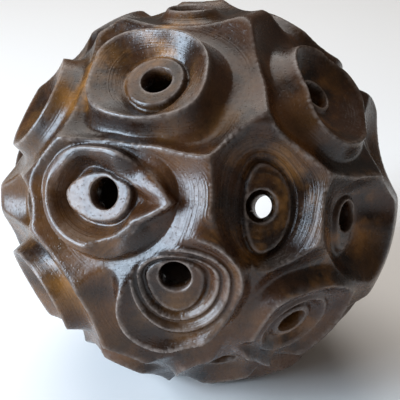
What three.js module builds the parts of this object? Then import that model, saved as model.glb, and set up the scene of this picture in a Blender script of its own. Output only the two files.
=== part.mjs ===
import * as THREE from 'three';
import { ConvexHull } from 'three/addons/math/ConvexHull.js';

// Hollow carved ball with round holes, millimetres, +Z up.
// The origin is the middle of the small flat spot that the ball rests on.
// Each hole ends in its own carved eye: a flat plate round the hole, then
// rings of grooves, lids and rims. Where the outer slopes of neighbouring
// eyes meet they leave sharp webs.

// Driving sizes
const BALL_RADIUS = 64;        // to the webs and rims
const CAVITY_RADIUS = 52.5;    // inside of the shell
const HOLE_RADIUS = 4.7;
const HOLE_SIDES = 12;
const FOOT_LEVEL = 62.6;       // flat spot below the centre
const FOOT_RADIUS = 9;         // half width of the flat spot kept clear of carving
const WEB_TOP = 2.2;           // level of uncarved skin, from BALL_RADIUS
const WEB_SOFTNESS = 0.4;      // rounding where two slopes meet
const VALLEY_WIDTH = 16;       // how far a valley's bottom stays rounded
const FOOT_WEB = -0.3;         // lower level of the uncarved skin at the foot
const FOOT_CURVE = 260;        // how slowly that level climbs back
const EYE_REACH = 48;          // an eye shapes the skin this far round its hole
const FINE_SIDES = 30;         // points round each ring of the carved front eyes
const COARSE_SIDES = 20;       // points round each ring of the plainer eyes
const FILL_STEP = 4.1;         // spacing of points between the rings
const CLOSEST = 0.35;          // no two points of one eye nearer than this
const APART = 1.7;             // points of different eyes stay this far apart
const HOLE_MARGIN = 1;         // no loose points this near a hole
const RING_GAP = 0.4;          // rings of one eye never come closer
const SHARP_CLIMB = 1.7;       // power of a climb that is flat at one end
const POINTED_TIP = 1.6;       // power of a pointed tip's sides
const WEB_BAND = 1.6;          // height difference within which a point is drawn to a web
const WEB_STEP = 0.004;        // short way along the ball, in radians
const WEB_SHIFT = 0.02;        // longest shift of a point onto a web, in radians
const LEAST_CROSSING = 5;      // slopes that differ less than this leave no web
const SPIRAL_FILL = 0.87;      // area of skin for each point of a spiral, in squared steps
const FOOT_SIDES = 20;
const FOOT_INSET = 0.3;        // ring of points just inside the edge of the flat spot
const CAVITY_STEP = 15;        // spacing of points inside the shell
const CAVITY_CLEAR = 9;        // none of them this near a hole's middle
const RIM_CLEAR = 6;           // or this near its edge
const CREST_PASSES = 6;        // rounds of turning edges onto crests
const LEAST_GAIN = 0.02;       // an edge is turned for no less than this
const SLIVER = 0.05;           // thinnest triangle, as area over longest side squared

// A ring is a closed line round a hole. It has reaches to the right, up, left
// and down as seen from outside, a level from BALL_RADIUS, and a crest that is
// sharp or soft. A tip pulls it out: [angle, length, half width in degrees], round
// unless it is 'pointed'. A lean raises it by an amount towards an angle, and a
// dent raises or lowers one stretch: [angle, height, half width].
function ring(reaches, level, crest, tips = [], lean = [0, 0], dents = []) {
  return { reaches, level, crest, tips, lean, dents };
}

// An eye sits at a longitude and latitude, longitude 0 facing -Y. Its turn
// rolls the right hand direction, and its rise is the slope beyond the last ring
// to the right, up, left and down.
function eye(longitude, latitude, turn, rise, sides, rings) {
  return { longitude, latitude, turn, rise, sides, rings };
}

const upperEye = eye(-24, 58, 12, [1.25, 2.2, 3, 4], FINE_SIDES, [
  ring([9, 9.5, 10, 10.2], -6, 'sharp'),
  ring([10.4, 10.4, 10.6, 11.6], -6.8, 'soft', [], [0.9, 140]),
  ring([12, 11.2, 11.4, 15], -4.6, 'sharp', [[45, 1, 40]], [-2.4, 140]),
  ring([16.4, 16, 20.5, 17.3], 0.8, 'sharp', [[-150, 0.8, 40], [-42, 1.8, 45], [138, 4, 50]]),
  ring([24.5, 21, 24, 21.3], -5, 'soft', [[-50, 4.5, 35], [-145, 3, 30], [138, 4, 50]]),
]);

const leftEye = eye(-30.5, 21.5, 13, [0.52, 2, 1.2, 0.5], FINE_SIDES, [
  ring([9.8, 6.6, 14.6, 8.8], -6, 'sharp', [[45, -1.4, 40]]),
  ring([10.8, 7.3, 15.8, 10.4], -7.8, 'soft', [[45, -1.2, 40]]),
  ring([11.6, 8, 16.4, 12.8], -4.6, 'sharp',
    [[-11, 6.5, 26, 'pointed'], [42, -1.6, 38], [128, 3.8, 50]], [1, -90],
    [[30, 1.2, 60], [145, 4, 60]]),
  ring([16, 13.2, 18.3, 15.8], 0, 'soft', [[-7, 8.5, 35, 'pointed'], [135, 2, 50]], [-0.3, 30],
    [[25, -3.2, 36]]),
  ring([17.5, 14.8, 19.6, 16.8], -2.2, 'soft', [[4, 5, 40], [135, 1.6, 50]], [-2.6, 25]),
  ring([25, 16.8, 21, 21.5], -3.2, 'sharp', [], [3, 130], [[14, -1, 35]]),
]);

const lowerEye = eye(-7, 0, 3, [1.7, 1.7, 1.7, 1.7], FINE_SIDES, [
  ring([9, 5.6, 9.2, 12.7], -6.5, 'sharp'),
  ring([11, 6.6, 10.2, 13.7], -7, 'soft'),
  ring([13.6, 7.8, 11.4, 15], -4, 'soft'),
  ring([14.8, 8.8, 12.2, 16.4], -4.8, 'soft'),
  ring([16.6, 10.5, 13.2, 18.4], -2.3, 'soft'),
  ring([17.8, 12, 13.9, 20.4], -3.2, 'soft'),
  ring([19.9, 15, 14.6, 23.4], 0, 'sharp', [[-130, 6.6, 55]], [1.2, -90]),
  ring([24, 19, 21, 28], -4, 'soft', [[-130, 3, 50]], [2.5, 80]),
]);

const rightEye = eye(19.5, 19.5, -8, [0.9, 0.9, 0.9, 0.9], FINE_SIDES, [
  ring([10.5, 13.8, 5.7, 15.2], -8, 'sharp'),
  ring([11.4, 14.8, 6.7, 16], -8.8, 'soft'),
  ring([13.4, 17.5, 10.5, 17.3], -6.8, 'soft'),
  ring([17.5, 22.5, 17.6, 19], 0.6, 'sharp', [[125, 3.2, 50], [25, 2.8, 30], [-53, 0.7, 30]]),
]);

const upperRightEye = eye(61, 46, -25, [2, 2, 2.8, 2.8], FINE_SIDES, [
  ring([6, 6, 6, 6], -6, 'sharp'),
  ring([7, 7, 7, 7.5], -7, 'soft'),
  ring([19, 15, 11, 20], 0.5, 'sharp', [[-132, 2.5, 40]]),
  ring([25, 21, 18.7, 25], -4.5, 'soft', [[-152, 3.5, 35]]),
]);

const farRightEye = eye(53.5, 7.5, -20, [0.9, 0.9, 0.9, 0.9], FINE_SIDES, [
  ring([5.4, 6, 7, 12], -7.5, 'sharp'),
  ring([6.6, 7.5, 8.4, 13.4], -8.2, 'soft'),
  ring([17.5, 13.5, 21.6, 20.5], 1.0, 'sharp', [[143, 4, 38], [-48, 4, 45]], [1.6, -35]),
]);

const lowerRightEye = eye(32, -23, -18, [1.7, 1.7, 1.7, 1.7], FINE_SIDES, [
  ring([7, 7, 7, 7], -6, 'sharp'),
  ring([9, 9, 9, 9], -7, 'soft'),
  ring([12, 12.5, 12.8, 12.8], -3.4, 'soft'),
  ring([13.5, 14, 14.2, 14.2], -4, 'soft'),
  ring([18, 19.5, 17, 18.5], 0.5, 'sharp', [[142, 2.8, 40], [48, 2, 30]]),
  ring([20.5, 25, 22.5, 23], -5, 'soft', [[142, 2.5, 40]], [0, 0], [[45, 5, 50]]),
]);

const farLeftEye = eye(-67, 6.5, 23, [0.9, 0.9, 0.9, 0.9], COARSE_SIDES, [
  ring([7, 7, 7, 7], -6, 'sharp'),
  ring([19, 11, 13, 11.5], 1.3, 'sharp', [[110, 3, 35]]),
]);

const upperLeftEye = eye(-83, 33, 28, [1.7, 1.7, 1.7, 1.7], COARSE_SIDES, [
  ring([7, 7, 7, 7], -6, 'sharp'),
  ring([17, 17, 17, 15], 0.5, 'sharp'),
  ring([23, 22, 22, 19], -4.5, 'soft'),
]);

const lowerLeftEye = eye(-60, -19.5, 25, [1.7, 1.7, 1.7, 1.7], COARSE_SIDES, [
  ring([7, 7, 7, 7], -6, 'sharp'),
  ring([17, 15, 16, 17], 1.4, 'sharp'),
  ring([22, 19, 21, 22], -4.5, 'soft'),
]);

const underEye = eye(9, -41.5, -10, [1.7, 1.7, 1.7, 1.7], COARSE_SIDES, [
  ring([7, 7, 7, 7], -6, 'sharp'),
  ring([15, 14.5, 15, 15], 0, 'sharp'),
  ring([19, 18, 19, 19], -3.5, 'soft'),
]);

const crownEye = eye(-156, 84, 150, [1.4, 1.4, 1.4, 1.4], COARSE_SIDES, [
  ring([5.6, 5.6, 5.6, 5.6], -4, 'sharp'),
  ring([7.5, 7.5, 7.5, 7.5], -1, 'sharp'),
  ring([12, 12, 12, 12], -4, 'soft'),
]);

const sideEye = eye(81, 19.5, -25, [0.9, 0.9, 0.9, 0.9], COARSE_SIDES, [
  ring([7, 7, 7, 7], -6, 'sharp'),
  ring([17, 18, 19, 17], 0.8, 'sharp', [[172, 1.2, 30]]),
]);

const PLAIN_PLATE = 7;
const PLAIN_RIM = 16.5;
const PLAIN_VALLEY = 21;
const PLAIN_RISE = 1.6;

function plainEye([longitude, latitude]) {
  const even = (value) => [value, value, value, value];
  return eye(longitude, latitude, 0, even(PLAIN_RISE), COARSE_SIDES, [
    ring(even(PLAIN_PLATE), -6, 'sharp'),
    ring(even(PLAIN_RIM), 0.3, 'sharp'),
    ring(even(PLAIN_VALLEY), -3.5, 'soft'),
  ]);
}

const plainPlaces = [
  [149, -28], [-153, -24], [177, 39], [109, -3], [142, 13], [-142, 15], [-103, -46],
  [-178, -47], [121, 49], [180, 0], [-110, 0], [-41, -52], [118, -61], [84, -37], [-127, 49],
];

const eyes = [
  upperEye, leftEye, lowerEye, rightEye, upperRightEye, farRightEye, lowerRightEye,
  farLeftEye, upperLeftEye, lowerLeftEye, underEye, crownEye, sideEye,
  ...plainPlaces.map(plainEye),
];

const radians = (degrees) => (degrees * Math.PI) / 180;
const between = (value, low, high) => Math.min(high, Math.max(low, value));

// Outward axis of an eye with its right and up directions on the skin.
for (const one of eyes) {
  const lon = radians(one.longitude);
  const lat = radians(one.latitude);
  one.axis = new THREE.Vector3(
    Math.sin(lon) * Math.cos(lat),
    -Math.cos(lon) * Math.cos(lat),
    Math.sin(lat),
  );
  one.right = new THREE.Vector3(Math.cos(lon), Math.sin(lon), 0)
    .applyAxisAngle(one.axis, radians(one.turn));
  one.up = new THREE.Vector3().crossVectors(one.axis, one.right);
}

// 1 at a place on a ring, falling to 0 at half a width to either side.
function shareLeft(angle, place, width) {
  const turn = (angle * 180) / Math.PI - place;
  return Math.max(0, 1 - Math.abs(turn - 360 * Math.round(turn / 360)) / width);
}

const rounded = (part) => part * part * (3 - 2 * part);

function ringReach(line, angle) {
  const [right, up, left, down] = line.reaches;
  const across = Math.cos(angle) / (Math.cos(angle) >= 0 ? right : left);
  const along = Math.sin(angle) / (Math.sin(angle) >= 0 ? up : down);
  let reach = 1 / Math.hypot(across, along);
  for (const [place, length, width, form] of line.tips) {
    const left = shareLeft(angle, place, width);
    reach += length * (form === 'pointed' ? left ** POINTED_TIP : rounded(left));
  }
  return reach;
}

function ringLevel(line, angle) {
  const [amount, towards] = line.lean;
  let level = line.level + amount * Math.cos(angle - radians(towards));
  for (const [place, height, width] of line.dents) {
    level += height * rounded(shareLeft(angle, place, width));
  }
  return level;
}

// Part of the climb from one ring to the next, flat at a soft crest.
function climb(part, innerCrest, outerCrest) {
  if (innerCrest === 'soft' && outerCrest === 'soft') return rounded(part);
  if (innerCrest === 'soft') return part ** SHARP_CLIMB;
  if (outerCrest === 'soft') return 1 - (1 - part) ** SHARP_CLIMB;
  return part;
}

// Reaches of all rings of an eye at an angle, each outside the one before.
function reachesAt(one, angle) {
  const reaches = one.rings.map((line) => ringReach(line, angle));
  for (let i = 1; i < reaches.length; i += 1) {
    reaches[i] = Math.max(reaches[i], reaches[i - 1] + RING_GAP);
  }
  return reaches;
}

// Steepness of an eye's outer slope at an angle.
function riseAt([right, up, left, down], angle) {
  const across = Math.cos(angle);
  const along = Math.sin(angle);
  return (across >= 0 ? right : left) * across * across + (along >= 0 ? up : down) * along * along;
}

// Level of the skin that one eye alone would leave in a direction.
function eyeLevel(one, direction) {
  const x = direction.dot(one.right);
  const y = direction.dot(one.up);
  const tilt = Math.atan2(Math.hypot(x, y), direction.dot(one.axis));
  const away = tilt * BALL_RADIUS;
  if (away > EYE_REACH) return Infinity;
  const angle = Math.atan2(y, x);
  const rings = one.rings;
  const reaches = reachesAt(one, angle);
  const flat = BALL_RADIUS + rings[0].level;
  if (away <= reaches[0]) return flat / Math.cos(tilt) - BALL_RADIUS;
  let from = flat / Math.cos(reaches[0] / BALL_RADIUS) - BALL_RADIUS;
  for (let i = 1; i < rings.length; i += 1) {
    const to = ringLevel(rings[i], angle);
    if (away <= reaches[i]) {
      const part = (away - reaches[i - 1]) / (reaches[i] - reaches[i - 1]);
      return from + (to - from) * climb(part, rings[i - 1].crest, rings[i].crest);
    }
    from = to;
  }
  const beyond = away - reaches[rings.length - 1];
  const slope = riseAt(one.rise, angle);
  if (rings[rings.length - 1].crest === 'soft') {
    return from + (slope * beyond * beyond) / (beyond + VALLEY_WIDTH);
  }
  return from + slope * beyond;
}

// Levels of every eye in a direction, with the uncarved skin last.
function allLevels(direction) {
  const fromFoot = Math.acos(between(-direction.z, -1, 1)) * BALL_RADIUS;
  const uncarved = Math.min(WEB_TOP, FOOT_WEB + fromFoot ** 2 / FOOT_CURVE);
  return [...eyes.map((one) => eyeLevel(one, direction)), uncarved];
}

// Distance of the outer skin from the centre in a direction.
function skinRadius(direction) {
  const levels = allLevels(direction);
  const lowest = Math.min(...levels);
  let sum = 0;
  for (const level of levels) sum += Math.exp((lowest - level) / WEB_SOFTNESS);
  const carved = BALL_RADIUS + lowest - WEB_SOFTNESS * Math.log(sum);
  const below = -direction.z;
  if (below <= 0) return carved;
  return Math.min(carved, FOOT_LEVEL / below);
}

// Direction at a reach and an angle round an eye.
function directionAt(one, reach, angle) {
  const tilt = reach / BALL_RADIUS;
  return one.axis.clone().multiplyScalar(Math.cos(tilt))
    .addScaledVector(one.right, Math.sin(tilt) * Math.cos(angle))
    .addScaledVector(one.up, Math.sin(tilt) * Math.sin(angle));
}

// Points kept so far, no two of them too close.
const kept = [];
function keep(direction, owner, gap) {
  const limit = Math.cos(gap / BALL_RADIUS);
  const closest = Math.cos(CLOSEST / BALL_RADIUS);
  const holeLimit = Math.cos((HOLE_RADIUS + HOLE_MARGIN) / BALL_RADIUS);
  if (eyes.some((one) => one.axis.dot(direction) > holeLimit)) return;
  for (const other of kept) {
    const near = owner && other.owner === owner ? closest : limit;
    if (other.direction.dot(direction) > near) return;
  }
  kept.push({ direction, owner });
}

// The twelve corners of a hole where it meets a round surface.
function holeCorners(one, radius) {
  const reach = Math.asin(HOLE_RADIUS / radius) * BALL_RADIUS;
  const corners = [];
  for (let side = 0; side < HOLE_SIDES; side += 1) {
    corners.push(directionAt(one, reach, (2 * Math.PI * side) / HOLE_SIDES));
  }
  return corners;
}

function placeHoles(radiusAt) {
  const placed = [];
  for (const one of eyes) {
    const radius = radiusAt(one);
    for (const direction of holeCorners(one, radius)) {
      placed.push({ direction, hole: one, owner: one });
    }
  }
  return placed;
}

const plateRadius = (one) => (BALL_RADIUS + one.rings[0].level) / Math.cos(HOLE_RADIUS / BALL_RADIUS);

// Rings first, sharp crests before soft ones.
function placeRings() {
  for (const crest of ['sharp', 'soft']) {
    for (const one of eyes) {
      one.rings.forEach((line, index) => {
        if (line.crest !== crest) return;
        for (let i = 0; i < one.sides; i += 1) {
          const angle = (2 * Math.PI * i) / one.sides;
          const direction = directionAt(one, reachesAt(one, angle)[index], angle);
          const own = eyeLevel(one, direction);
          if (own > Math.min(...allLevels(direction)) + RING_GAP) continue;
          if (-direction.z > Math.cos(FOOT_RADIUS / BALL_RADIUS)) continue;
          keep(direction, one, APART);
        }
      });
    }
  }
}

// Difference between the two lowest slopes; nought on the line of a web.
function webDifference(direction) {
  const levels = allLevels(direction);
  const order = levels.map((level, index) => index).sort((a, b) => levels[a] - levels[b]);
  return { first: order[0], second: order[1], gap: levels[order[1]] - levels[order[0]] };
}

// A point near a web is drawn onto its line.
function drawnToWeb(direction) {
  const here = webDifference(direction);
  if (here.gap > WEB_BAND || here.second >= eyes.length || here.first >= eyes.length) return direction;
  const difference = (place) => {
    const levels = allLevels(place);
    return levels[here.second] - levels[here.first];
  };
  const across = new THREE.Vector3()
    .subVectors(eyes[here.second].axis, eyes[here.first].axis)
    .projectOnPlane(direction).normalize();
  let moved = direction.clone();
  for (let pass = 0; pass < 3; pass += 1) {
    const ahead = moved.clone().addScaledVector(across, WEB_STEP).normalize();
    const slope = (difference(ahead) - difference(moved)) / WEB_STEP;
    if (Math.abs(slope) < LEAST_CROSSING) return direction;
    const shift = between(-difference(moved) / slope, -WEB_SHIFT, WEB_SHIFT);
    moved = moved.addScaledVector(across, shift).normalize();
  }
  return moved;
}

// Even spiral of points over the ball.
function spiral(step) {
  const area = 4 * Math.PI * BALL_RADIUS * BALL_RADIUS;
  const count = Math.round(area / (step * step * SPIRAL_FILL));
  const points = [];
  for (let i = 0; i < count; i += 1) {
    const height = 1 - (2 * i + 1) / count;
    const wide = Math.sqrt(1 - height * height);
    const turn = i * Math.PI * (3 - Math.sqrt(5));
    points.push(new THREE.Vector3(wide * Math.cos(turn), wide * Math.sin(turn), height));
  }
  return points;
}

function placeFill() {
  const loose = [];
  for (const direction of spiral(FILL_STEP)) {
    const drawn = drawnToWeb(direction);
    if (drawn !== direction) keep(drawn, null, APART);
    else loose.push(direction);
  }
  for (const direction of loose) keep(direction, null, FILL_STEP * 0.7);
}

// Edge of the flat foot and its middle.
function placeFoot() {
  const reach = Math.acos(FOOT_LEVEL / BALL_RADIUS) * BALL_RADIUS;
  for (let i = 0; i < FOOT_SIDES; i += 1) {
    const angle = (2 * Math.PI * i) / FOOT_SIDES;
    const tilt = (reach - FOOT_INSET) / BALL_RADIUS;
    kept.push({
      direction: new THREE.Vector3(
        Math.sin(tilt) * Math.cos(angle),
        Math.sin(tilt) * Math.sin(angle),
        -Math.cos(tilt),
      ),
    });
  }
  kept.push({ direction: new THREE.Vector3(0, 0, -1) });
}

// Triangles over a set of directions, leaving the holes open.
function covered(places, flipped) {
  const points = places.map((place) => place.direction.clone());
  const number = new Map(points.map((point, index) => [point, index]));
  const hull = new ConvexHull().setFromPoints(points);
  const triangles = [];
  for (const face of hull.faces) {
    const corners = [];
    let edge = face.edge;
    do {
      corners.push(number.get(edge.head().point));
      edge = edge.next;
    } while (edge !== face.edge);
    const holes = corners.map((index) => places[index].hole);
    const inHole = holes[0] && holes[1] === holes[0] && holes[2] === holes[0];
    if (inHole) continue;
    triangles.push(flipped ? corners.reverse() : corners);
  }
  return triangles;
}

// How far a straight edge between two points runs from the carved skin.
function edgeError(from, to) {
  let worst = 0;
  for (const part of [0.25, 0.5, 0.75]) {
    const point = from.clone().lerp(to, part);
    const radius = point.length();
    worst = Math.max(worst, Math.abs(radius - skinRadius(point.divideScalar(radius))));
  }
  return worst;
}

// A triangle faces outward and isn't a sliver.
function facesOut(a, b, c) {
  const first = new THREE.Vector3().subVectors(b, a);
  const second = new THREE.Vector3().subVectors(c, a);
  const longest = Math.max(first.length(), second.length(), b.distanceTo(c));
  const middle = a.clone().add(b).add(c).normalize();
  return first.cross(second).dot(middle) > SLIVER * longest * longest;
}

// Edges are turned within their four-sided patch where that follows the
// crests and grooves more closely.
function followCrests(triangles, points) {
  const flats = points.map((point) => point.clone().setLength(BALL_RADIUS));
  const sideOf = new Map();
  const nameOf = (a, b) => a * points.length + b;
  const write = (number) => {
    const [a, b, c] = triangles[number];
    sideOf.set(nameOf(a, b), number);
    sideOf.set(nameOf(b, c), number);
    sideOf.set(nameOf(c, a), number);
  };
  triangles.forEach((corners, number) => write(number));
  for (let pass = 0; pass < CREST_PASSES; pass += 1) {
    for (let number = 0; number < triangles.length; number += 1) {
      for (let side = 0; side < 3; side += 1) {
        const a = triangles[number][side];
        const b = triangles[number][(side + 1) % 3];
        const c = triangles[number][(side + 2) % 3];
        const other = sideOf.get(nameOf(b, a));
        if (a > b || other === undefined) continue;
        const d = triangles[other].find((corner) => corner !== a && corner !== b);
        if (sideOf.has(nameOf(c, d)) || sideOf.has(nameOf(d, c))) continue;
        if (!facesOut(flats[a], flats[d], flats[c])) continue;
        if (!facesOut(flats[d], flats[b], flats[c])) continue;
        const gain = edgeError(points[a], points[b]) - edgeError(points[c], points[d]);
        if (gain < LEAST_GAIN) continue;
        sideOf.delete(nameOf(a, b));
        sideOf.delete(nameOf(b, a));
        triangles[number] = [a, d, c];
        triangles[other] = [d, b, c];
        write(number);
        write(other);
        break;
      }
    }
  }
}

function carvedBall() {
  const outer = placeHoles(plateRadius);
  kept.push(...outer);
  placeFoot();
  placeRings();
  placeFill();
  const inner = placeHoles(() => CAVITY_RADIUS);
  const limit = Math.cos(RIM_CLEAR / CAVITY_RADIUS);
  const rims = inner.map((place) => place.direction);
  for (const direction of spiral(CAVITY_STEP)) {
    const clear = eyes.every((one) => one.axis.dot(direction) < Math.cos(CAVITY_CLEAR / CAVITY_RADIUS));
    if (clear && rims.every((rim) => rim.dot(direction) < limit)) inner.push({ direction });
  }
  const positions = [];
  for (const place of kept) {
    const radius = place.hole ? plateRadius(place.hole) : skinRadius(place.direction);
    positions.push(...place.direction.clone().multiplyScalar(radius).toArray());
  }
  for (const place of inner) {
    positions.push(...place.direction.clone().multiplyScalar(CAVITY_RADIUS).toArray());
  }
  const start = kept.length;
  const skin = covered(kept, false);
  const points = kept.map((place, number) => new THREE.Vector3().fromArray(positions, number * 3));
  followCrests(skin, points);
  const index = skin.flat();
  for (const corners of covered(inner, true)) {
    index.push(...corners.map((corner) => corner + start));
  }
  // Walls of the holes, from the plate in to the cavity.
  for (let number = 0; number < eyes.length; number += 1) {
    for (let side = 0; side < HOLE_SIDES; side += 1) {
      const here = number * HOLE_SIDES + side;
      const next = number * HOLE_SIDES + ((side + 1) % HOLE_SIDES);
      index.push(here, next, start + here);
      index.push(next, start + next, start + here);
    }
  }
  const geometry = new THREE.BufferGeometry();
  geometry.setAttribute('position', new THREE.Float32BufferAttribute(positions, 3));
  geometry.setIndex(index);
  geometry.translate(0, 0, FOOT_LEVEL);
  return geometry;
}

const glaze = new THREE.MeshStandardMaterial({ color: '#4a3326', roughness: 0.35, metalness: 0 });
glaze.name = 'glaze';

const sphere = new THREE.Mesh(carvedBall(), glaze);
sphere.name = 'sphere';

const assembly = new THREE.Group();
assembly.name = 'decorative_sphere';
assembly.add(sphere);

export default assembly;
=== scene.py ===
"""Hollow carved ball with nested eyes, dark brown glaze, on a plain pale floor.

Sizes of the carving are millimetres from the centre of the ball. Objects are
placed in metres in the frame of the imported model.
"""

import math

import bmesh
import bpy
import numpy as np
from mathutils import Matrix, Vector
from mathutils.geometry import delaunay_2d_cdt
from mathutils.kdtree import KDTree


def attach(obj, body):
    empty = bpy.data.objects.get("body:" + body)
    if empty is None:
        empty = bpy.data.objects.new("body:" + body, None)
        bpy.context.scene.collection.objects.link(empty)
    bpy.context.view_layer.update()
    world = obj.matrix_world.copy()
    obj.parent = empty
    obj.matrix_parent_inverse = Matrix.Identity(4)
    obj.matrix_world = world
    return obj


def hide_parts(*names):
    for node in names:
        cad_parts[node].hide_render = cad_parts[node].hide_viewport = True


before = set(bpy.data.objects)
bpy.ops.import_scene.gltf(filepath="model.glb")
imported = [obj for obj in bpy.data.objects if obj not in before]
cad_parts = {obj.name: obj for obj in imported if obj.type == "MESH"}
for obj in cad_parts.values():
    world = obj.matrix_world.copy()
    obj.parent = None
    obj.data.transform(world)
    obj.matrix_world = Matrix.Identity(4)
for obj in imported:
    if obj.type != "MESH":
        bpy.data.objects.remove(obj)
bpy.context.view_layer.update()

# Driving sizes, millimetres
BALL_RADIUS = 64.0     # to the webs and rims
CAVITY_RADIUS = 52.5   # inside of the shell
HOLE_RADIUS = 4.7
FOOT_LEVEL = 62.6      # flat spot below the centre
FOOT_CAP = 0.9         # only directions with this downward part reach it
FOOT_WEB = -0.3        # lower level of the uncarved skin at the foot
FOOT_CURVE = 260.0     # how slowly that level climbs back
WEB_TOP = 2.2          # level of uncarved skin, from BALL_RADIUS
WEB_SOFTNESS = 0.4     # rounding where two slopes meet
VALLEY_WIDTH = 16.0    # how far a valley's bottom stays rounded
EYE_REACH = 48.0       # an eye shapes the skin this far round its hole
OUT_OF_REACH = 40.0    # level of an eye beyond that
RING_GAP = 0.4         # rings of one eye never come closer
SHARP_CLIMB = 1.7      # power of a climb that is flat at one end
POINTED_TIP = 1.6      # power of a pointed tip's sides
PLAIN_PLATE = 7        # reaches of the rings of a plainer eye
PLAIN_RIM = 16.5
PLAIN_VALLEY = 21
PLAIN_RISE = 1.6       # steepness of its outer slope
TINY = 1e-9            # stands for 0 where something is divided by it
MM = 0.001


def unit(vectors):
    return vectors / np.linalg.norm(vectors, axis=-1, keepdims=True)


def outward(longitude, latitude):
    """Direction from the centre; longitude 0 faces -Y."""
    lon, lat = math.radians(longitude), math.radians(latitude)
    return np.array([math.sin(lon) * math.cos(lat), -math.cos(lon) * math.cos(lat), math.sin(lat)])


def even(value):
    """The same value to the right, up, left and down."""
    return [value] * 4


def ring(reaches, level, crest, tips=(), lean=(0, 0), dents=()):
    """A closed line round a hole, reaching right, up, left and down.

    A tip pulls it out: angle, length, half width in degrees, round unless it
    is "pointed". A lean raises it by an amount towards an angle, and a dent
    raises or lowers one stretch: angle, height, half width.
    """
    return {
        "reaches": reaches, "level": level, "crest": crest,
        "tips": tips, "lean": lean, "dents": dents,
    }


def eye(longitude, latitude, turn, rise, rings):
    """One hole with its rings, turned about its axis.

    rise is the steepness of the outer slope to the right, up, left and down.
    """
    axis = outward(longitude, latitude)
    lon, roll = math.radians(longitude), math.radians(turn)
    east = np.array([math.cos(lon), math.sin(lon), 0.0])
    north = np.cross(axis, east)
    right = east * math.cos(roll) + north * math.sin(roll)
    return {
        "axis": axis, "right": right, "up": np.cross(axis, right),
        "rise": rise, "rings": rings,
    }


plain_plate = ring(even(PLAIN_PLATE), -6, "sharp")

upper_eye = eye(-24, 58, 12, [1.25, 2.2, 3, 4], [
    ring([9, 9.5, 10, 10.2], -6, "sharp"),
    ring([10.4, 10.4, 10.6, 11.6], -6.8, "soft", [], [0.9, 140]),
    ring([12, 11.2, 11.4, 15], -4.6, "sharp", [[45, 1, 40]], [-2.4, 140]),
    ring([16.4, 16, 20.5, 17.3], 0.8, "sharp", [[-150, 0.8, 40], [-42, 1.8, 45], [138, 4, 50]]),
    ring([24.5, 21, 24, 21.3], -5, "soft", [[-50, 4.5, 35], [-145, 3, 30], [138, 4, 50]]),
])

left_eye = eye(-30.5, 21.5, 13, [0.52, 2, 1.2, 0.5], [
    ring([9.8, 6.6, 14.6, 8.8], -6, "sharp", [[45, -1.4, 40]]),
    ring([10.8, 7.3, 15.4, 10.4], -7.8, "soft", [[45, -1.2, 40], [128, 3, 45]]),
    ring([11.6, 8, 16.4, 12.8], -4.6, "sharp",
         [[-11, 6.5, 26, "pointed"], [42, -1.6, 38], [128, 3.8, 50]], [1, -90],
         [[30, 1.2, 60], [140, 4.6, 65]]),
    ring([16, 13.2, 17.8, 15.8], 0, "soft", [[-7, 8.5, 35, "pointed"], [135, 2, 50]],
         [-0.3, 30], [[25, -3.2, 36]]),
    ring([17.5, 14.8, 19.6, 16.8], -2.2, "soft", [[4, 5, 40], [135, 1.6, 50]], [-2.6, 25]),
    ring([25, 16.8, 21, 21.5], -3.2, "sharp", [], [3, 130], [[14, -1, 35]]),
])

lower_eye = eye(-7, 0, 3, even(1.7), [
    ring([9, 5.6, 9.2, 12.7], -6.5, "sharp"),
    ring([11, 6.6, 10.2, 13.7], -7, "soft"),
    ring([13.6, 7.8, 11.4, 15], -4, "soft"),
    ring([14.8, 8.8, 12.2, 16.4], -4.8, "soft"),
    ring([16.6, 10.5, 13.2, 18.4], -2.3, "soft"),
    ring([17.8, 12, 13.9, 20.4], -3.2, "soft"),
    ring([19.9, 15, 14.6, 23.4], 0, "sharp", [[-130, 6.6, 55]], [1.2, -90]),
    ring([24, 19, 21, 28], -4, "soft", [[-130, 3, 50]], [2.5, 80]),
])

right_eye = eye(19.5, 19.5, -8, even(0.9), [
    ring([10.5, 13.8, 5.7, 15.2], -8, "sharp"),
    ring([11.4, 14.8, 6.7, 16], -8.8, "soft"),
    ring([13.4, 17.5, 10.5, 17.3], -6.8, "soft"),
    ring([17.5, 22.5, 17.6, 19], 0.6, "sharp", [[125, 3.2, 50], [25, 2.8, 30], [-53, 0.7, 30]]),
])

upper_right_eye = eye(61, 46, -25, [2, 2, 2.8, 2.8], [
    ring(even(6), -6, "sharp"),
    ring([7, 7, 7, 7.5], -7, "soft"),
    ring([19, 15, 11, 20], 0.5, "sharp", [[-132, 2.5, 40]]),
    ring([25, 21, 18.7, 25], -4.5, "soft", [[-152, 3.5, 35]]),
])

far_right_eye = eye(53.5, 7.5, -20, even(0.9), [
    ring([5.4, 6, 7, 12], -7.5, "sharp"),
    ring([6.6, 7.5, 8.4, 13.4], -8.2, "soft"),
    ring([17.5, 13.5, 21.6, 20.5], 1.0, "sharp", [[143, 4, 38], [-48, 4, 45]], [1.6, -35]),
])

lower_right_eye = eye(32, -23, -18, even(1.7), [
    plain_plate,
    ring(even(9), -7, "soft"),
    ring([12, 12.5, 12.8, 12.8], -3.4, "soft"),
    ring([13.5, 14, 14.2, 14.2], -4, "soft"),
    ring([18, 19.5, 17, 18.5], 0.5, "sharp", [[142, 2.8, 40], [48, 2, 30]]),
    ring([20.5, 25, 22.5, 23], -5, "soft", [[142, 2.5, 40]], [0, 0], [[45, 5, 50]]),
])

far_left_eye = eye(-67, 6.5, 23, even(0.9), [
    plain_plate,
    ring([19, 11, 13, 11.5], 1.3, "sharp", [[110, 3, 35]]),
])

upper_left_eye = eye(-83, 33, 28, even(1.7), [
    plain_plate,
    ring([17, 17, 17, 15], 0.5, "sharp"),
    ring([23, 22, 22, 19], -4.5, "soft"),
])

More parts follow.
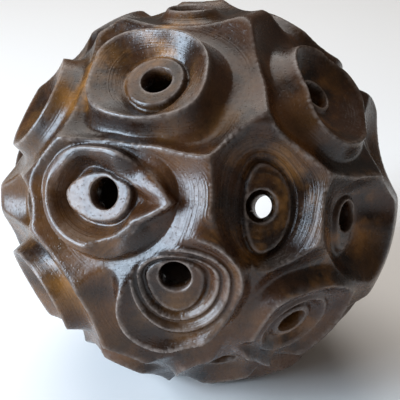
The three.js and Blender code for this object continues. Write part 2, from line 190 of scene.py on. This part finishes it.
lower_left_eye = eye(-60, -19.5, 25, even(1.7), [
    plain_plate,
    ring([17, 15, 16, 17], 1.4, "sharp"),
    ring([22, 19, 21, 22], -4.5, "soft"),
])

under_eye = eye(9, -41.5, -10, even(1.7), [
    plain_plate,
    ring([15, 14.5, 15, 15], 0, "sharp"),
    ring([19, 18, 19, 19], -3.5, "soft"),
])

crown_eye = eye(-156, 84, 150, even(1.4), [
    ring(even(5.6), -4, "sharp"),
    ring(even(7.5), -1, "sharp"),
    ring(even(12), -4, "soft"),
])

side_eye = eye(81, 19.5, -25, even(0.9), [
    plain_plate,
    ring([17, 18, 19, 17], 0.8, "sharp", [[172, 1.2, 30]]),
])

# The plainer eyes of the hidden sides, by longitude and latitude
PLAIN_PLACES = (
    (149, -28), (-153, -24), (177, 39), (109, -3), (142, 13), (-142, 15), (-103, -46),
    (-178, -47), (121, 49), (180, 0), (-110, 0), (-41, -52), (118, -61), (84, -37), (-127, 49),
)


def plain_eye(longitude, latitude):
    return eye(longitude, latitude, 0, even(PLAIN_RISE), [
        plain_plate,
        ring(even(PLAIN_RIM), 0.3, "sharp"),
        ring(even(PLAIN_VALLEY), -3.5, "soft"),
    ])


eyes = [
    upper_eye, left_eye, lower_eye, right_eye, upper_right_eye, far_right_eye, lower_right_eye,
    far_left_eye, upper_left_eye, lower_left_eye, under_eye, crown_eye, side_eye,
] + [plain_eye(*place) for place in PLAIN_PLACES]


def share_left(angle, place, half_width):
    """1 at a place on a ring, falling to 0 at the half width to either side."""
    turn = np.degrees(angle) - place
    return np.maximum(0, 1 - np.abs(turn - 360 * np.round(turn / 360)) / half_width)


def rounded(part):
    return part * part * (3 - 2 * part)


def by_quarter(values, cos, sin):
    """The value to the right or left and the one up or down, at an angle."""
    right, up, left, down = values
    return np.where(cos >= 0, right, left), np.where(sin >= 0, up, down)


def ring_level(line, angle):
    amount, towards = line["lean"]
    level = line["level"] + amount * np.cos(angle - math.radians(towards))
    for place, height, half_width in line["dents"]:
        level = level + height * rounded(share_left(angle, place, half_width))
    return level


def ring_reach(line, cos, sin, angle):
    sideways, upright = by_quarter(line["reaches"], cos, sin)
    reach = 1 / np.hypot(cos / sideways, sin / upright)
    for place, length, half_width, *form in line["tips"]:
        left = share_left(angle, place, half_width)
        reach = reach + length * (left ** POINTED_TIP if "pointed" in form else rounded(left))
    return reach


def reaches_of(one, cos, sin, angle):
    """Reaches of all rings of an eye, each outside the one before."""
    reaches = [ring_reach(line, cos, sin, angle) for line in one["rings"]]
    for i in range(1, len(reaches)):
        reaches[i] = np.maximum(reaches[i], reaches[i - 1] + RING_GAP)
    return reaches


def climb(part, inner, outer):
    """Share of the climb between two rings, flat at a soft crest."""
    if inner == "soft" and outer == "soft":
        return rounded(part)
    if inner == "soft":
        return part ** SHARP_CLIMB
    if outer == "soft":
        return 1 - (1 - part) ** SHARP_CLIMB
    return part


def eye_level(one, directions):
    """Level of the skin that one eye alone would leave."""
    x = directions @ one["right"]
    y = directions @ one["up"]
    wide = np.maximum(np.hypot(x, y), TINY)
    tilt = np.arctan2(wide, directions @ one["axis"])
    away = tilt * BALL_RADIUS
    cos, sin = x / wide, y / wide
    angle = np.arctan2(y, x)
    rings = one["rings"]
    reaches = reaches_of(one, cos, sin, angle)
    flat = BALL_RADIUS + rings[0]["level"]
    level = flat / np.cos(np.minimum(tilt, reaches[0] / BALL_RADIUS)) - BALL_RADIUS
    start = level
    for i in range(1, len(rings)):
        end = ring_level(rings[i], angle)
        part = np.clip((away - reaches[i - 1]) / (reaches[i] - reaches[i - 1]), 0, 1)
        step = start + (end - start) * climb(part, rings[i - 1]["crest"], rings[i]["crest"])
        level = np.where(away > reaches[i - 1], step, level)
        start = end
    beyond = np.maximum(0, away - reaches[-1])
    sideways, upright = by_quarter(one["rise"], cos, sin)
    rise = sideways * cos * cos + upright * sin * sin
    if rings[-1]["crest"] == "soft":
        out = start + rise * beyond * beyond / (beyond + VALLEY_WIDTH)
    else:
        out = start + rise * beyond
    return np.where(away > reaches[-1], out, level)


def all_levels(directions):
    """Levels of every eye, with the uncarved skin last."""
    levels = np.full((len(eyes) + 1, len(directions)), OUT_OF_REACH)
    from_foot = np.arccos(np.clip(-directions[:, 2], -1, 1)) * BALL_RADIUS
    levels[-1] = np.minimum(WEB_TOP, FOOT_WEB + from_foot ** 2 / FOOT_CURVE)
    limit = math.cos(EYE_REACH / BALL_RADIUS)
    for i, one in enumerate(eyes):
        near = directions @ one["axis"] > limit
        if near.any():
            levels[i, near] = eye_level(one, directions[near])
    return levels


def skin_radius(directions):
    """Distance of the outer skin from the centre."""
    levels = all_levels(directions)
    lowest = levels.min(0)
    total = np.exp((lowest - levels) / WEB_SOFTNESS).sum(0)
    carved = BALL_RADIUS + lowest - WEB_SOFTNESS * np.log(total)
    below = np.maximum(-directions[:, 2], FOOT_CAP)
    return np.where(directions[:, 2] < -FOOT_CAP, np.minimum(carved, FOOT_LEVEL / below), carved)


# Mesh, millimetres
MOUTH_ROUNDING = 0.3     # worn edge of a hole
MESH_FREQUENCY = 84      # triangles along each side of the twenty-sided start
SAME_POINT = 1e6         # its points that agree to one part in this are one
FRONT_CROWDING = 0.8     # points crowd towards the shown side by this factor
FRONT_STEP = 0.72        # least distance between points on the shown side
BACK_STEP = 0.95         # and on the hidden side
HIDDEN_FROM = 0.1        # cosine to the viewer from which the distance grows
HIDDEN_FADE = 0.6        # and over how much of it
LINE_STEP = 0.45         # along rings and webs
LINE_SHARE = 0.75        # of that distance kept between points on lines
BESIDE_SHARE = 0.8       # and of a step kept by points beside the rings
LEAST_CORNERS = 24       # round a hole or ring
MOUTH_APART = 0.2        # least distance of points round a hole
MOUTH_CLEAR = 0.25       # no other points this near a hole's edge
ON_MOUTH = 0.01          # a point this near lies on it
WEB_BAND = 1.2           # height difference within which a point is drawn to a web
WEB_ASIDE = 0.4          # shift of the second set of points drawn to the webs
WEB_PROBE = 0.05         # short way for measuring slopes
WEB_STRIDE = 1.0         # longest way a point is moved at once
WEB_PASSES = 3
WEB_MISS = 0.02          # height difference that a point on a web may keep
WEB_UNDER = 0.05         # and how far it may lie above the lowest level
LEAST_STEEPNESS = 0.05   # of the difference between two slopes, squared
OPEN_TO = 22             # the eye at the back from whose hole the skin is flattened
FLAT_MISS = 1e-7         # points nearer than this would be joined while flattened
SOFTENING = 0.5          # share of the way to the neighbours' middle
SOFTENING_PASSES = 1
CAVITY_STEP = 6.0        # spacing of points inside the shell
CAVITY_RIM_CLEAR = 3.0   # none of them this near a hole's edge
CAVITY_HOLE_CLEAR = 1.5  # or within the hole and this much more
VIEW_ELEVATION = math.radians(25)
ASLANT = (0.3, 0.2, 0.93)   # any direction off the main ones
TO_VIEWER = np.array([0.0, -math.cos(VIEW_ELEVATION), math.sin(VIEW_ELEVATION)])


def geodesic(frequency):
    """Even points over a unit sphere, on the sides of a twenty-sided solid."""
    golden = (1 + math.sqrt(5)) / 2
    corners = np.array([
        (-1, golden, 0), (1, golden, 0), (-1, -golden, 0), (1, -golden, 0),
        (0, -1, golden), (0, 1, golden), (0, -1, -golden), (0, 1, -golden),
        (golden, 0, -1), (golden, 0, 1), (-golden, 0, -1), (-golden, 0, 1),
    ], float)
    sides = [
        (0, 11, 5), (0, 5, 1), (0, 1, 7), (0, 7, 10), (0, 10, 11),
        (1, 5, 9), (5, 11, 4), (11, 10, 2), (10, 7, 6), (7, 1, 8),
        (3, 9, 4), (3, 4, 2), (3, 2, 6), (3, 6, 8), (3, 8, 9),
        (4, 9, 5), (2, 4, 11), (6, 2, 10), (8, 6, 7), (9, 8, 1),
    ]
    points = []
    for a, b, c in sides:
        for i in range(frequency + 1):
            for j in range(frequency + 1 - i):
                across, along = i / frequency, j / frequency
                points.append(corners[a] * (1 - across - along) + corners[b] * across + corners[c] * along)
    points = unit(np.array(points))
    keys = np.round(points * SAME_POINT).astype(np.int64)
    _, first = np.unique(keys, axis=0, return_index=True)
    return points[first]


def crowd(points, towards, factor):
    """Shifts points of a sphere so that they lie closer together on one side."""
    height = points @ towards
    side = points - height[:, None] * towards
    wide = np.maximum(np.linalg.norm(side, axis=1), TINY)
    angle = np.arctan2(wide, height)
    moved = 2 * np.arctan(factor * np.tan(angle / 2))
    return np.cos(moved)[:, None] * towards + (np.sin(moved) / wide)[:, None] * side


def from_hole(one, points):
    """How far from the middle of an eye's hole points lie."""
    x, y = points @ one["right"], points @ one["up"]
    return np.arctan2(np.hypot(x, y), points @ one["axis"]) * BALL_RADIUS


def reaches_at(one, angle):
    return reaches_of(one, np.cos(angle), np.sin(angle), angle)


def hole_reach(one):
    """Reach of the hole's edge on its flat plate."""
    mouth = HOLE_RADIUS + MOUTH_ROUNDING
    return math.atan2(mouth, BALL_RADIUS + one["rings"][0]["level"]) * BALL_RADIUS


def from_eye(one, away, angle):
    """Directions that lie so far round an eye, at an angle."""
    turn = away / BALL_RADIUS
    aside = np.cos(angle)[:, None] * one["right"] + np.sin(angle)[:, None] * one["up"]
    return np.cos(turn)[:, None] * one["axis"] + np.sin(turn)[:, None] * aside


def even_angles(length, step):
    count = max(LEAST_CORNERS, int(length / step))
    return np.arange(count) * 2 * math.pi / count


def spacing(points):
    """Wanted distance between fill points, larger on the hidden side."""
    hidden = np.clip((HIDDEN_FROM - points @ TO_VIEWER) / HIDDEN_FADE, 0, 1)
    return FRONT_STEP + (BACK_STEP - FRONT_STEP) * hidden


def ring_points(one):
    """Points along an eye's hole and rings, then along lines beside the rings."""
    step = LINE_STEP * spacing(one["axis"][None])[0] / FRONT_STEP
    angle = even_angles(2 * math.pi * HOLE_RADIUS, step)
    rim = from_eye(one, np.full(len(angle), hole_reach(one)), angle)
    rings, beside = [], []
    for index in range(len(one["rings"])):
        length = 2 * math.pi * reaches_at(one, np.zeros(1))[index][0]
        angle = even_angles(length, step)
        reach = reaches_at(one, angle)[index]
        rings.append(from_eye(one, reach, angle))
        for shift in (-step, step):
            beside.append(from_eye(one, reach + shift, angle + math.pi / len(angle)))
    return rim, np.concatenate(rings), np.concatenate(beside)


def owned(one_number, points):
    """Points where this eye's own carving is the lowest."""
    levels = all_levels(points)
    return points[levels[one_number] < levels.min(0) + WEB_SOFTNESS / 2]


def on_webs(points):
    """Moves points near a web onto its line and drops the rest."""
    levels = all_levels(points)
    order = np.sort(np.argpartition(levels, 1, axis=0)[:2], axis=0)
    columns = np.arange(len(points))
    near = np.abs(levels[order[0], columns] - levels[order[1], columns]) < WEB_BAND
    points, order = points[near], order[:, near]
    columns = np.arange(len(points))
    east = unit(np.cross(points, ASLANT))
    north = np.cross(points, east)
    probe = WEB_PROBE / BALL_RADIUS
    for _ in range(WEB_PASSES):
        values = []
        for shift in (0, probe * east, probe * north):
            levels = all_levels(unit(points + shift))
            values.append(levels[order[0], columns] - levels[order[1], columns])
        across, along = (values[1] - values[0]) / WEB_PROBE, (values[2] - values[0]) / WEB_PROBE
        steep = np.maximum(across ** 2 + along ** 2, LEAST_STEEPNESS)
        step = np.clip(values[0] / steep, -WEB_STRIDE, WEB_STRIDE) / BALL_RADIUS
        points = unit(points - (step * across)[:, None] * east - (step * along)[:, None] * north)
    levels = all_levels(points)
    gap = levels[order[0], columns] - levels[order[1], columns]
    lowest = levels[order[0], columns] < levels.min(0) + WEB_UNDER
    return points[(np.abs(gap) < WEB_MISS) & lowest]


def thinned(points, apart):
    """Keeps points in their order unless one is too near an earlier one."""
    tree = KDTree(len(points))
    for number, point in enumerate(points * BALL_RADIUS):
        tree.insert(point, number)
    tree.balance()
    alive = np.ones(len(points), bool)
    for number, point in enumerate(points * BALL_RADIUS):
        if not alive[number]:
            continue
        for _, other, _ in tree.find_range(point, apart[number]):
            if other > number:
                alive[other] = False
    return points[alive]


def skin_points():
    """Directions of all points of the outer skin, those of the holes first."""
    fill = crowd(geodesic(MESH_FREQUENCY), TO_VIEWER, FRONT_CROWDING)
    rims, rings, beside = [], [], []
    for number, one in enumerate(eyes):
        rim, lines, sides = ring_points(one)
        rims.append(rim)
        rings.append(owned(number, lines))
        beside.append(owned(number, sides))
    rims, rings, beside = map(np.concatenate, (rims, rings, beside))
    aside = unit(fill + WEB_ASIDE / BALL_RADIUS * unit(np.cross(fill, TO_VIEWER)))
    webs = on_webs(np.concatenate([fill, aside]))
    groups = [
        (rims, 1.0), (rings, LINE_SHARE), (webs, LINE_SHARE), (beside, BESIDE_SHARE), (fill, 1.0),
    ]
    points = np.concatenate([group for group, _ in groups])
    share = np.concatenate([np.full(len(group), part) for group, part in groups])
    apart = share * spacing(points)
    apart[:len(rims)] = MOUTH_APART
    lines = len(rims) + len(rings) + len(webs)
    apart[len(rims):lines] *= LINE_STEP / FRONT_STEP
    clear = np.ones(len(points), bool)
    for one in eyes:
        clear &= from_hole(one, points) > hole_reach(one) + MOUTH_CLEAR
    clear[:len(rims)] = True
    return thinned(points[clear], apart[clear])


def hole_of(points):
    """Number of the eye whose hole edge a point lies on, or -1."""
    owner = np.full(len(points), -1)
    for number, one in enumerate(eyes):
        owner[np.abs(from_hole(one, points) - hole_reach(one)) < ON_MOUTH] = number
    return owner


def skin_triangles(points):
    """Joins directions to triangles, seen flattened from inside one hidden hole."""
    far = eyes[OPEN_TO]
    height = points @ far["axis"]
    flat = np.stack([points @ far["up"], points @ far["right"]], 1) / (1 - height)[:, None]
    corners = [Vector(place) for place in flat]
    _, _, faces, sources, _, _ = delaunay_2d_cdt(corners, [], [], 0, FLAT_MISS)
    source = np.array([first[0] for first in sources])
    faces = source[np.array(faces)]
    loops = hole_of(points)[faces]
    across = (loops[:, 0] >= 0) & (loops == loops[:, :1]).all(1)
    return faces[~across]


def softened(places, triangles, points):
    """The glaze rounds every crest a little; mouths of the holes stay."""
    first = triangles.ravel()
    second = np.roll(triangles, -1, 1).ravel()
    weight = np.bincount(first, minlength=len(places))[:, None]
    free = (hole_of(points) < 0)[:, None]
    for _ in range(SOFTENING_PASSES):
        total = np.stack([np.bincount(first, places[second, axis], len(places)) for axis in range(3)], 1)
        places = np.where(free, places + SOFTENING * (total / weight - places), places)
    return places


def open_rims(triangles):
    """Closed loops of corner numbers along the open edges, one a hole."""
    pairs = np.concatenate([triangles[:, [0, 1]], triangles[:, [1, 2]], triangles[:, [2, 0]]])
    there = set(map(tuple, pairs))
    following = {a: b for a, b in there if (b, a) not in there}
    loops = []
    while following:
        start, step = following.popitem()
        loop = [start]
        while step != start:
            loop.append(step)
            step = following.pop(step)
        loops.append(loop)
    return loops


def spiral(count):
    """Even points over a unit sphere."""
    number = np.arange(count)
    height = 1 - (2 * number + 1) / count
    wide = np.sqrt(1 - height * height)
    turn = number * math.pi * (3 - math.sqrt(5))
    return np.stack([wide * np.cos(turn), wide * np.sin(turn), height], 1)


def cavity_faces(rim_rings):
    """Skin of the cavity between the inner ends of the holes."""
    rim_points = np.concatenate(rim_rings)
    loop_of = np.concatenate([np.full(len(places), i) for i, places in enumerate(rim_rings)])
    area = 4 * math.pi * CAVITY_RADIUS ** 2
    loose = spiral(int(area / CAVITY_STEP ** 2))
    nearest = (loose @ unit(rim_points).T).max(1)
    axes = np.array([one["axis"] for one in eyes])
    clear = nearest < math.cos(CAVITY_RIM_CLEAR / CAVITY_RADIUS)
    clear &= (loose @ axes.T).max(1) < math.cos((HOLE_RADIUS + CAVITY_HOLE_CLEAR) / CAVITY_RADIUS)
    loose = loose[clear] * CAVITY_RADIUS
    places = np.concatenate([rim_points, loose])
    loop_of = np.concatenate([loop_of, np.full(len(loose), -1)])
    hull = bmesh.new()
    corners = [hull.verts.new(place) for place in places]
    hull.verts.index_update()
    bmesh.ops.convex_hull(hull, input=corners)
    faces = []
    for face in hull.faces:
        numbers = [corner.index for corner in face.verts]
        loops = loop_of[numbers]
        if loops[0] >= 0 and (loops == loops[0]).all():
            continue
        faces.append(numbers[::-1])
    hull.free()
    return loose, faces


def carved_ball():
    """The whole shell: carved skin, walls of the holes and the cavity."""
    points = skin_points()
    triangles = skin_triangles(points)
    places = [softened(points * skin_radius(points)[:, None], triangles, points)]
    faces = triangles.tolist()
    count = len(points)
    axes = np.array([one["axis"] for one in eyes])
    inner_end = math.sqrt(CAVITY_RADIUS ** 2 - HOLE_RADIUS ** 2)
    inner = []
    for loop in open_rims(triangles):
        rim = places[0][loop]
        axis = axes[np.argmax(axes @ unit(rim.mean(0)))]
        along = rim @ axis
        spoke = unit(rim - along[:, None] * axis) * HOLE_RADIUS
        before = np.array(loop)
        for depth in (along - MOUTH_ROUNDING, (along + inner_end) / 2, np.full(len(loop), inner_end)):
            now = count + np.arange(len(loop))
            places.append(spoke + depth[:, None] * axis)
            count += len(loop)
            after, ahead = np.roll(before, -1), np.roll(now, -1)
            faces += np.stack([after, before, now, ahead], 1).tolist()
            before = now
        inner.append((before, places[-1]))
    loose, cavity = cavity_faces([places_there for _, places_there in inner])
    numbers = np.concatenate([ids for ids, _ in inner] + [count + np.arange(len(loose))])
    places.append(loose)
    faces += [numbers[face].tolist() for face in cavity]
    return np.concatenate(places), faces


def ball_object():
    places, faces = carved_ball()
    mesh = bpy.data.meshes.new("sphere_skin")
    mesh.from_pydata((places * MM + np.array([0, 0, FOOT_LEVEL * MM])).tolist(), [], faces)
    shell = bmesh.new()
    shell.from_mesh(mesh)
    bmesh.ops.triangulate(shell, faces=shell.faces)
    bmesh.ops.recalc_face_normals(shell, faces=shell.faces)
    shell.to_mesh(mesh)
    shell.free()
    mesh.polygons.foreach_set("use_smooth", [True] * len(mesh.polygons))
    carved = bpy.data.objects.new("carved_sphere", mesh)
    bpy.context.scene.collection.objects.link(carved)
    return carved


class Shading:
    """Short forms for the nodes of one material."""

    def __init__(self, name):
        self.material = bpy.data.materials.new(name)
        self.material.use_nodes = True
        self.nodes = self.material.node_tree.nodes
        self.links = self.material.node_tree.links
        self.shader = self.nodes["Principled BSDF"]
        self.place = self.nodes.new("ShaderNodeTexCoord").outputs["Object"]

    def feed(self, socket, value):
        if isinstance(value, bpy.types.NodeSocket):
            self.links.new(value, socket)
        else:
            socket.default_value = value

    def noise(self, scale, detail=3, roughness=0.5):
        node = self.nodes.new("ShaderNodeTexNoise")
        node.inputs["Scale"].default_value = scale
        node.inputs["Detail"].default_value = detail
        node.inputs["Roughness"].default_value = roughness
        self.links.new(self.place, node.inputs["Vector"])
        return node.outputs["Fac"]

    def cells(self, scale):
        node = self.nodes.new("ShaderNodeTexVoronoi")
        node.inputs["Scale"].default_value = scale
        self.links.new(self.place, node.inputs["Vector"])
        return node.outputs["Distance"]

    def stripes(self, across, scale, detail=2):
        node = self.nodes.new("ShaderNodeTexNoise")
        node.noise_dimensions = "1D"
        node.inputs["Scale"].default_value = scale
        node.inputs["Detail"].default_value = detail
        self.links.new(across, node.inputs["W"])
        return node.outputs["Fac"]

    def spread(self, value, low, high, to_low=0.0, to_high=1.0):
        node = self.nodes.new("ShaderNodeMapRange")
        node.interpolation_type = "SMOOTHSTEP"
        names = ("From Min", "From Max", "To Min", "To Max")
        for name, number in zip(names, (low, high, to_low, to_high)):
            node.inputs[name].default_value = number
        self.links.new(value, node.inputs["Value"])
        return node.outputs["Result"]

    def times(self, first, second):
        node = self.nodes.new("ShaderNodeMath")
        node.operation = "MULTIPLY"
        self.feed(node.inputs[0], first)
        self.feed(node.inputs[1], second)
        return node.outputs["Value"]

    def mix(self, part, first, second):
        node = self.nodes.new("ShaderNodeMix")
        node.data_type = "RGBA"
        self.feed(node.inputs["Factor"], part)
        self.feed(node.inputs["A"], first)
        self.feed(node.inputs["B"], second)
        return node.outputs["Result"]

    def stored(self, name):
        node = self.nodes.new("ShaderNodeAttribute")
        node.attribute_name = name
        return node.outputs["Fac"]

    def bump(self, height, depth, before=None):
        node = self.nodes.new("ShaderNodeBump")
        node.inputs["Distance"].default_value = depth
        self.links.new(height, node.inputs["Height"])
        if before:
            self.links.new(before, node.inputs["Normal"])
        return node.outputs["Normal"]


# Glaze: a noise has a scale per metre, detail and roughness, a fade gives the
# values between which a look sets in, and depths are metres
DARK_GLAZE = (0.013, 0.0050, 0.0021, 1)
BROWN_GLAZE = (0.046, 0.0168, 0.0060, 1)
AMBER_GLAZE = (0.27, 0.112, 0.024, 1)
# Pale crest colour: partly worn glaze, partly a painted highlight on the ridges
WORN_AND_HIGHLIGHT_GLAZE = (0.19, 0.145, 0.12, 1)
PATCH_NOISE = (45, 4, 0.6)
PATCH_FADE = (0.42, 0.62)
THIN_NOISE = (34, 5, 0.65)
THIN_FADE = (0.44, 0.64)
AMBER_FADE = (0.1, 0.9)
AMBER_SHARE = (0.18, 1.0)    # of amber, on the thickest and the thinnest glaze
# Noise and fades of the pale crests, worn glaze and painted highlight
WEAR_AND_HIGHLIGHT_NOISE = (420, 3)
WEAR_AND_HIGHLIGHT_FADE = (0.35, 0.6)
WEAR_AND_HIGHLIGHT_SHARE = (0.35, 0.9)
SHEEN_NOISE = (600, 4, 0.6)
SHEEN_FADE = (0.3, 0.7)
GLOSS = (0.22, 0.34)         # roughness of the smoothest and the dullest places
REFRACTION = 1.43
PIT_SCALE = 900
PIT_FADE = (0.10, 0.30)
PIT_DEPTH = 0.00004
GRAIN_NOISE = (1300, 3, 0.6)
GRAIN_DEPTH = 0.00005
TOOL_SCALE = 2.4             # tool lines, per millimetre from the centre
TOOL_FADE = (0.48, 0.62)
TOOL_DEPTH = 0.00022
TOOL_SHARE = (0.25, 1)       # of that depth, away from the marked spots and on them
TOOL_DARKENING = 0.75        # of the colour in the deepest lines


def glaze_material():
    """Iron brown glaze, amber where it is thin, paler along the crests: partly worn glaze, partly a
    painted highlight.
    """
    look = Shading("dark brown glaze")
    patches = look.spread(look.noise(*PATCH_NOISE), *PATCH_FADE)
    colour = look.mix(patches, DARK_GLAZE, BROWN_GLAZE)
    thin = look.spread(look.noise(*THIN_NOISE), *THIN_FADE)
    amber = look.times(thin, look.spread(look.stored("thin_glaze"), *AMBER_FADE, *AMBER_SHARE))
    colour = look.mix(amber, colour, AMBER_GLAZE)
    tool_lines = look.stripes(look.stored("contour"), TOOL_SCALE)
    marked = look.times(look.spread(tool_lines, *TOOL_FADE), look.stored("tool_marks"))
    colour = look.mix(look.times(marked, TOOL_DARKENING), colour, DARK_GLAZE)
    # Paler crests: worn glaze and a painted highlight along the ridges
    wear_and_highlight = look.spread(look.noise(*WEAR_AND_HIGHLIGHT_NOISE), *WEAR_AND_HIGHLIGHT_FADE, *WEAR_AND_HIGHLIGHT_SHARE)
    colour = look.mix(look.times(look.stored("crest"), wear_and_highlight), colour, WORN_AND_HIGHLIGHT_GLAZE)
    look.feed(look.shader.inputs["Base Color"], colour)
    sheen = look.spread(look.noise(*SHEEN_NOISE), *SHEEN_FADE, *GLOSS)
    look.feed(look.shader.inputs["Roughness"], sheen)
    look.shader.inputs["IOR"].default_value = REFRACTION
    relief = look.bump(look.spread(look.cells(PIT_SCALE), *PIT_FADE), PIT_DEPTH)
    relief = look.bump(look.noise(*GRAIN_NOISE), GRAIN_DEPTH, relief)
    grooves = look.times(tool_lines, look.spread(look.stored("tool_marks"), 0, 1, *TOOL_SHARE))
    relief = look.bump(grooves, TOOL_DEPTH, relief)
    look.feed(look.shader.inputs["Normal"], relief)
    return look.material


def of_corners(mesh, name):
    """A vector for each corner of a mesh, its place or its normal."""
    values = np.zeros(len(mesh.vertices) * 3)
    mesh.vertices.foreach_get(name, values)
    return values.reshape(-1, 3)


def crest_strength(mesh):
    """How sharply the skin bends outwards at each corner, per millimetre."""
    places = of_corners(mesh, "co") / MM
    normals = of_corners(mesh, "normal")
    ends = np.zeros(len(mesh.edges) * 2, int)
    mesh.edges.foreach_get("vertices", ends)
    first, second = ends.reshape(-1, 2).T
    apart = places[second] - places[first]
    length = np.linalg.norm(apart, axis=1)
    bend = (np.einsum("ij,ij->i", apart, normals[second] - normals[first])) / length ** 2
    total, weight = np.zeros(len(places)), np.zeros(len(places))
    for end in (first, second):
        np.add.at(total, end, bend)
        np.add.at(weight, end, 1)
    return total / weight


def store(mesh, name, values):
    """Keeps one number a corner for the glaze to read."""
    attribute = mesh.attributes.new(name, "FLOAT", "POINT")
    attribute.data.foreach_set("value", np.ascontiguousarray(values, np.float32))


# Spots on the skin: longitude, latitude, reach in millimetres, strength
AMBER_SPOTS = (
    (19.5, 19.5, 18, 0.55), (53.5, 7.5, 16, 0.6), (31, -5, 9, 1.0), (-8, 8, 7, 0.9), (-40, 76, 12, 0.8),
    (-60, 50, 12, 0.5), (61, 46, 14, 0.45), (32, -23, 16, 0.35), (-50, -12, 12, 0.4),
)
MARKED_SPOTS = ((19.5, 19.5, 20, 1.0), (-26, 60, 16, 0.4), (-30.5, 21.5, 18, 0.45), (-7, 0, 18, 0.3))
SPOT_EDGE = 1.5           # a spot ends at this many reaches
RIM_DEPTH = 1.0           # the glaze starts to thin this far below BALL_RADIUS
THINNING_DEPTH = 6.0      # and is thinnest so much deeper
HOLLOW_AMBER = 0.3        # how much that counts
CREST_WEAR_AND_HIGHLIGHT_FROM = 0.20         # crest strength where worn glaze and a painted highlight start to show
CREST_WEAR_AND_HIGHLIGHT_FADE = 0.40         # and over how much of it


def near_spots(places, spots):
    """Strength of the spots at each place, whole in their middles and 0 outside."""
    directions = unit(places)
    total = np.zeros(len(places))
    for longitude, latitude, reach, strength in spots:
        middle = outward(longitude, latitude)
        away = np.arccos(np.clip(directions @ middle, -1, 1)) * BALL_RADIUS
        total += strength * rounded(np.clip(SPOT_EDGE - away / reach, 0, 1))
    return np.clip(total, 0, 1)


def amber_zones(places):
    """Where the glaze is thin: a little in every hollow, most in a few places."""
    below = BALL_RADIUS - RIM_DEPTH - np.linalg.norm(places, axis=1)
    hollow = HOLLOW_AMBER * np.clip(below / THINNING_DEPTH, 0, 1)
    return np.clip(hollow + near_spots(places, AMBER_SPOTS), 0, 1)


ball = ball_object()
ball_places = of_corners(ball.data, "co") / MM - np.array([0, 0, FOOT_LEVEL])
# crest: where the pale glaze goes, worn glaze and a painted highlight along the ridges
store(ball.data, "crest", np.clip((crest_strength(ball.data) - CREST_WEAR_AND_HIGHLIGHT_FROM) / CREST_WEAR_AND_HIGHLIGHT_FADE, 0, 1))
store(ball.data, "thin_glaze", amber_zones(ball_places))
store(ball.data, "contour", np.linalg.norm(ball_places, axis=1))
store(ball.data, "tool_marks", near_spots(ball_places, MARKED_SPOTS))
ball.data.materials.append(glaze_material())
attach(ball, "root")
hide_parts("sphere")

# Camera, floor and lights, metres
CENTRE = Vector((0, 0, FOOT_LEVEL * MM))
VIEW_DISTANCE = 5 * BALL_RADIUS * MM   # camera to CENTRE
PHOTO_SIDE = 400          # pixels
BALL_WIDTH_IN_PHOTO = 384
BALL_PLACE_IN_PHOTO = (199.5, 192)
SENSOR = 36               # millimetres
NEAREST_SHOWN = 0.01
FLOOR_HALF_SIDE = 3.0
FLOOR_COLOUR = (0.87, 0.84, 0.81, 1)
FLOOR_ROUGHNESS = 0.9
ROOM_COLOUR = (1, 0.90, 0.80, 1)
ROOM_STRENGTH = 0.13


def photo_camera():
    camera = bpy.data.objects.new("camera", bpy.data.cameras.new("camera"))
    bpy.context.scene.collection.objects.link(camera)
    camera.location = CENTRE + Vector(TO_VIEWER) * VIEW_DISTANCE
    camera.rotation_euler = (math.pi / 2 - VIEW_ELEVATION, 0, 0)
    sine = BALL_RADIUS * MM / VIEW_DISTANCE
    focal_pixels = BALL_WIDTH_IN_PHOTO / 2 * math.sqrt(1 / sine ** 2 - 1)
    camera.data.sensor_width = SENSOR
    camera.data.lens = focal_pixels / PHOTO_SIDE * SENSOR
    camera.data.shift_x = (PHOTO_SIDE / 2 - BALL_PLACE_IN_PHOTO[0]) / PHOTO_SIDE
    camera.data.shift_y = (BALL_PLACE_IN_PHOTO[1] - PHOTO_SIDE / 2) / PHOTO_SIDE
    camera.data.clip_start = NEAREST_SHOWN
    bpy.context.scene.camera = camera


def pale_floor():
    mesh = bpy.data.meshes.new("floor")
    side = FLOOR_HALF_SIDE
    corners = [(-side, -side, 0), (side, -side, 0), (side, side, 0), (-side, side, 0)]
    mesh.from_pydata(corners, [], [(0, 1, 2, 3)])
    floor = bpy.data.objects.new("floor", mesh)
    bpy.context.scene.collection.objects.link(floor)
    material = bpy.data.materials.new("pale floor")
    material.use_nodes = True
    shader = material.node_tree.nodes["Principled BSDF"]
    shader.inputs["Base Color"].default_value = FLOOR_COLOUR
    shader.inputs["Roughness"].default_value = FLOOR_ROUGHNESS
    mesh.materials.append(material)


def soft_light(name, direction, distance, size, power, colour):
    lamp = bpy.data.lights.new(name, "AREA")
    lamp.shape = "RECTANGLE"
    lamp.size, lamp.size_y = size
    lamp.energy = power
    lamp.color = colour
    light = bpy.data.objects.new(name, lamp)
    bpy.context.scene.collection.objects.link(light)
    away = Vector(direction).normalized()
    light.location = CENTRE + away * distance
    light.rotation_euler = away.to_track_quat("Z", "Y").to_euler()


def room_light():
    world = bpy.data.worlds.new("room")
    bpy.context.scene.world = world
    world.use_nodes = True
    background = world.node_tree.nodes["Background"]
    background.inputs["Color"].default_value = ROOM_COLOUR
    background.inputs["Strength"].default_value = ROOM_STRENGTH


photo_camera()
pale_floor()
soft_light(
    "window", direction=(-0.87, -0.43, 0.33), distance=0.8,
    size=(0.36, 0.70), power=18, colour=(0.66, 0.82, 1),
)
soft_light(
    "ceiling", direction=(-0.15, 0.42, 0.87), distance=1.1,
    size=(1.0, 1.0), power=9, colour=(1, 0.98, 0.95),
)
room_light()
bpy.context.scene.view_settings.view_transform = "Standard"
